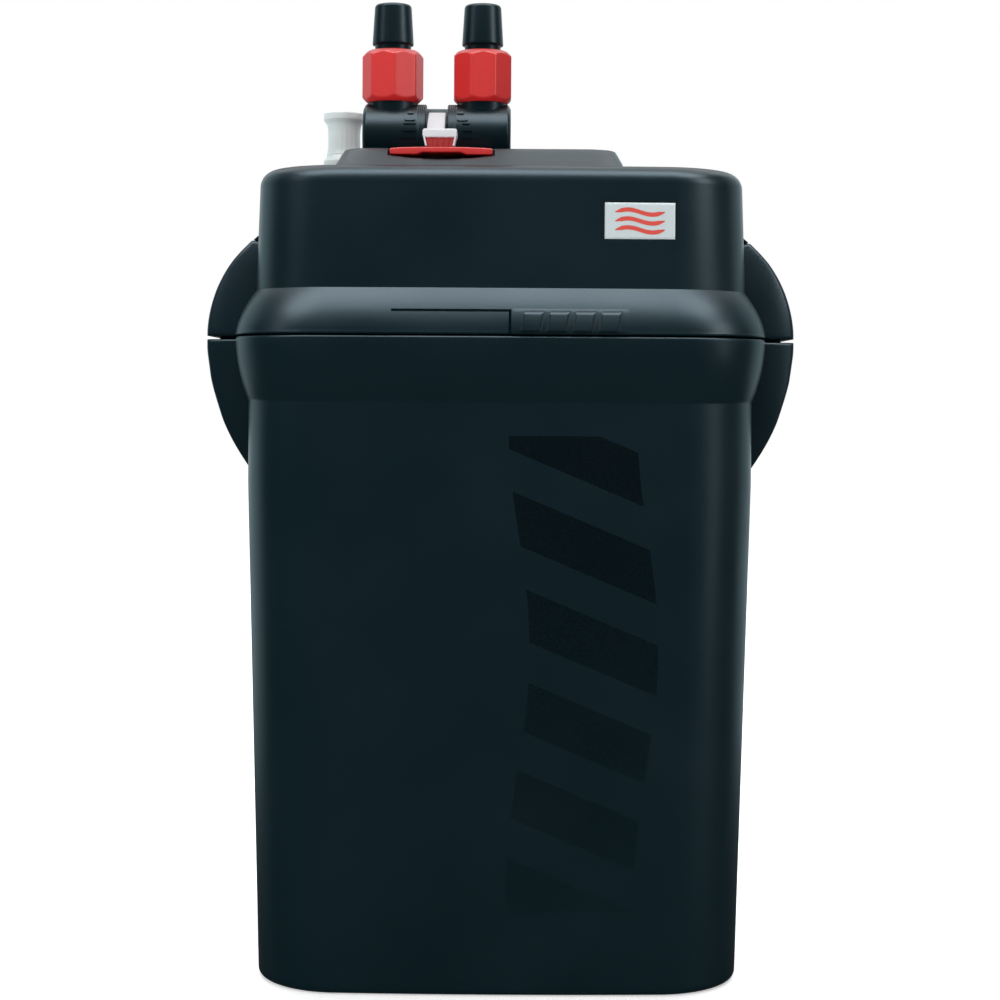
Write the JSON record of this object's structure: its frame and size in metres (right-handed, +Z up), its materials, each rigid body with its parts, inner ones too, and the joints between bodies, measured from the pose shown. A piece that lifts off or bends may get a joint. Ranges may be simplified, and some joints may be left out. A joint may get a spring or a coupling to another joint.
{
  "type": "canister filter",
  "caption": "Upright aquarium canister filter with a rolled rim, side lift-lock clamps, a motor head, a twin hose valve with lock nuts and a priming plunger.",
  "frame": {"origin": "centre of the footprint, on the surface that the filter stands on", "axes": "+Z up, -Y is the front with the badge and the release latch, +X to the right seen from the front"},
  "size_m": [0.25, 0.1796, 0.4091],
  "materials": {
    "black_plastic": "fine-grained semi-matte moulding",
    "inner_plastic": "matt moulding",
    "red_plastic": "satin",
    "white_plastic": "satin",
    "grey_plastic": "satin",
    "badge_foil": "satin foil",
    "rubber": "matt",
    "steel": "plain",
    "copper_winding": "enamelled wire",
    "basket_plastic": "satin",
    "foam": "open-cell foam",
    "ceramic": "porous rings",
    "carbon": "granules",
    "floss": "felt",
    "magnet": "ferrite"
  },
  "bodies": {
    "filter": {"canister": "black_plastic", "head_cover": "black_plastic", "valve_body": "black_plastic", "head_base": "inner_plastic", "impeller_cover": "inner_plastic", "primer_cylinder": "inner_plastic", "valve_cap_left": "inner_plastic", "valve_cap_right": "inner_plastic", "impeller_shaft": "white_plastic", "badge_plate": "badge_foil", "head_seal": "rubber", "valve_gasket": "rubber", "primer_flap_valve": "rubber", "shaft_bush_upper": "rubber", "shaft_bush_lower": "rubber", "cord_gland": "rubber", "head_screw_1": "steel", "head_screw_2": "steel", "head_screw_3": "steel", "head_screw_4": "steel", "motor_core": "steel", "clamp_pin_left": "steel", "clamp_pin_right": "steel", "motor_coil": "copper_winding", "basket_lower": "basket_plastic", "basket_middle": "basket_plastic", "basket_upper": "basket_plastic", "basket_lid": "basket_plastic", "foam_frame": "basket_plastic", "foam_pad_lower": "foam", "foam_pad_upper": "foam", "ceramic_media": "ceramic", "carbon_media": "carbon", "fine_filter_pad": "floss"},
    "clamp_left": {"clamp_left": "black_plastic"},
    "clamp_right": {"clamp_right": "black_plastic"},
    "primer": {"primer_knob": "grey_plastic", "primer_rod": "grey_plastic", "primer_piston": "white_plastic", "primer_piston_seal": "rubber"},
    "flow_control": {"flow_lever": "white_plastic", "valve_rotor_left": "white_plastic", "valve_rotor_right": "white_plastic"},
    "release": {"release_latch": "red_plastic"},
    "tail_left": {"hose_tail_left": "black_plastic", "tail_seal_left": "rubber"},
    "tail_right": {"hose_tail_right": "black_plastic", "tail_seal_right": "rubber"},
    "nut_left": {"lock_nut_left": "red_plastic"},
    "nut_right": {"lock_nut_right": "red_plastic"},
    "impeller": {"impeller_magnet": "magnet", "impeller_wheel": "white_plastic"}
  },
  "joints": [
    {"name": "clamp_left_lift", "type": "hinge", "parent": "filter", "child": "clamp_left", "pos_m": [-0.1051, 0, 0.3021], "axis": [0, 1, 0], "range_deg": [0, 70]},
    {"name": "clamp_right_lift", "type": "hinge", "parent": "filter", "child": "clamp_right", "pos_m": [0.1051, 0, 0.3021], "axis": [0, -1, 0], "range_deg": [0, 70]},
    {"name": "primer_pull", "type": "slide", "parent": "filter", "child": "primer", "axis": [0, 0, 1], "range_m": [0, 0.042]},
    {"name": "flow_lever_turn", "type": "hinge", "parent": "filter", "child": "flow_control", "pos_m": [-0.0276, -0.028, 0.3522], "axis": [-1, 0, 0], "range_deg": [0, 60]},
    {"name": "release_pull", "type": "slide", "parent": "filter", "child": "release", "axis": [0, -1, 0], "range_m": [0, 0.006], "stiffness_N_per_m": 250},
    {"name": "tail_left_lift", "type": "slide", "parent": "filter", "child": "tail_left", "axis": [0, 0, 1], "range_m": [0, 0.009]},
    {"name": "nut_left_turn", "type": "hinge", "parent": "tail_left", "child": "nut_left", "pos_m": [-0.0468, -0.028, 0.378], "axis": [0, 0, 1], "range_deg": [0, 1080]},
    {"name": "tail_right_lift", "type": "slide", "parent": "filter", "child": "tail_right", "axis": [0, 0, 1], "range_m": [0, 0.009]},
    {"name": "nut_right_turn", "type": "hinge", "parent": "tail_right", "child": "nut_right", "pos_m": [-0.0084, -0.028, 0.378], "axis": [0, 0, 1], "range_deg": [0, 1080]},
    {"name": "impeller_spin", "type": "hinge", "parent": "filter", "child": "impeller", "pos_m": [0.042, 0.008, 0.285], "axis": [0, 0, 1], "continuous": true}
  ],
  "couplings": [
    {"joint": "tail_left_lift", "follows": "nut_left_turn", "m_per_rad": 0.00047746},
    {"joint": "tail_right_lift", "follows": "nut_right_turn", "m_per_rad": 0.00047746}
  ]
}
